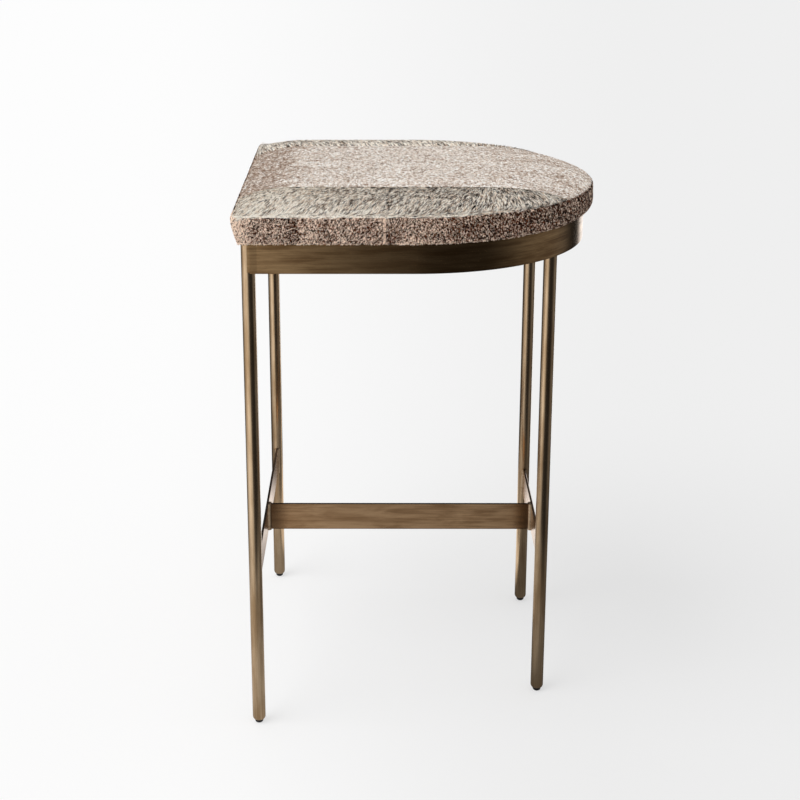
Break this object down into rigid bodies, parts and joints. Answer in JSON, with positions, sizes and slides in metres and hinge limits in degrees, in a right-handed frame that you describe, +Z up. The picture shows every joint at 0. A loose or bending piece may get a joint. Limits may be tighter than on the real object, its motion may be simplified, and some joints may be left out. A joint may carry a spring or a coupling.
{
  "type": "counter stool",
  "caption": "Backless counter stool: D-shaped padded hair-on-hide seat on a welded frame of round legs and flat bars, with an H-shaped footrest.",
  "frame": {"origin": "on the floor, at the middle of the seat's width and depth", "axes": "+Z up; -Y towards the flat front edge of the seat; +Y towards its round end; +X towards the right of someone who looks along +Y"},
  "size_m": [0.448, 0.434, 0.66],
  "materials": {
    "antique_brass": "antique brass finish, brushed and lacquered, welds ground smooth",
    "glide_black": "moulded nylon",
    "zinc_steel": "zinc plated",
    "plywood": "unfinished plywood",
    "foam": "cut upholstery foam",
    "hide_middle": "hair-on-hide, taupe short hair",
    "hide_sides": "hair-on-hide, grey-beige short hair with dark flecks",
    "hide_band": "hair-on-hide, brown and beige speckled short hair",
    "dust_cover": "woven black dust cover"
  },
  "bodies": {
    "root": {"leg_front_left": "antique_brass", "leg_front_right": "antique_brass", "leg_rear_left": "antique_brass", "leg_rear_right": "antique_brass", "glide_front_left": "glide_black", "glide_front_right": "glide_black", "glide_rear_left": "glide_black", "glide_rear_right": "glide_black", "apron_front_bar": "antique_brass", "apron_bent_band": "antique_brass", "apron_welds": "antique_brass", "footrest_front_bar": "antique_brass", "footrest_rear_bar": "antique_brass", "footrest_middle_bar": "antique_brass", "footrest_welds": "antique_brass", "seat_tab_front": "antique_brass", "seat_tab_rear": "antique_brass", "seat_tab_left": "antique_brass", "seat_tab_right": "antique_brass", "seat_screws": "zinc_steel", "seat_board": "plywood", "foam_pad": "foam", "hide_top_middle": "hide_middle", "hide_top_left": "hide_sides", "hide_top_right": "hide_sides", "hide_band_front": "hide_band", "hide_band_rear": "hide_band", "hide_folded_edge": "hide_band", "dust_cover": "dust_cover", "staples": "zinc_steel"}
  },
  "joints": []
}
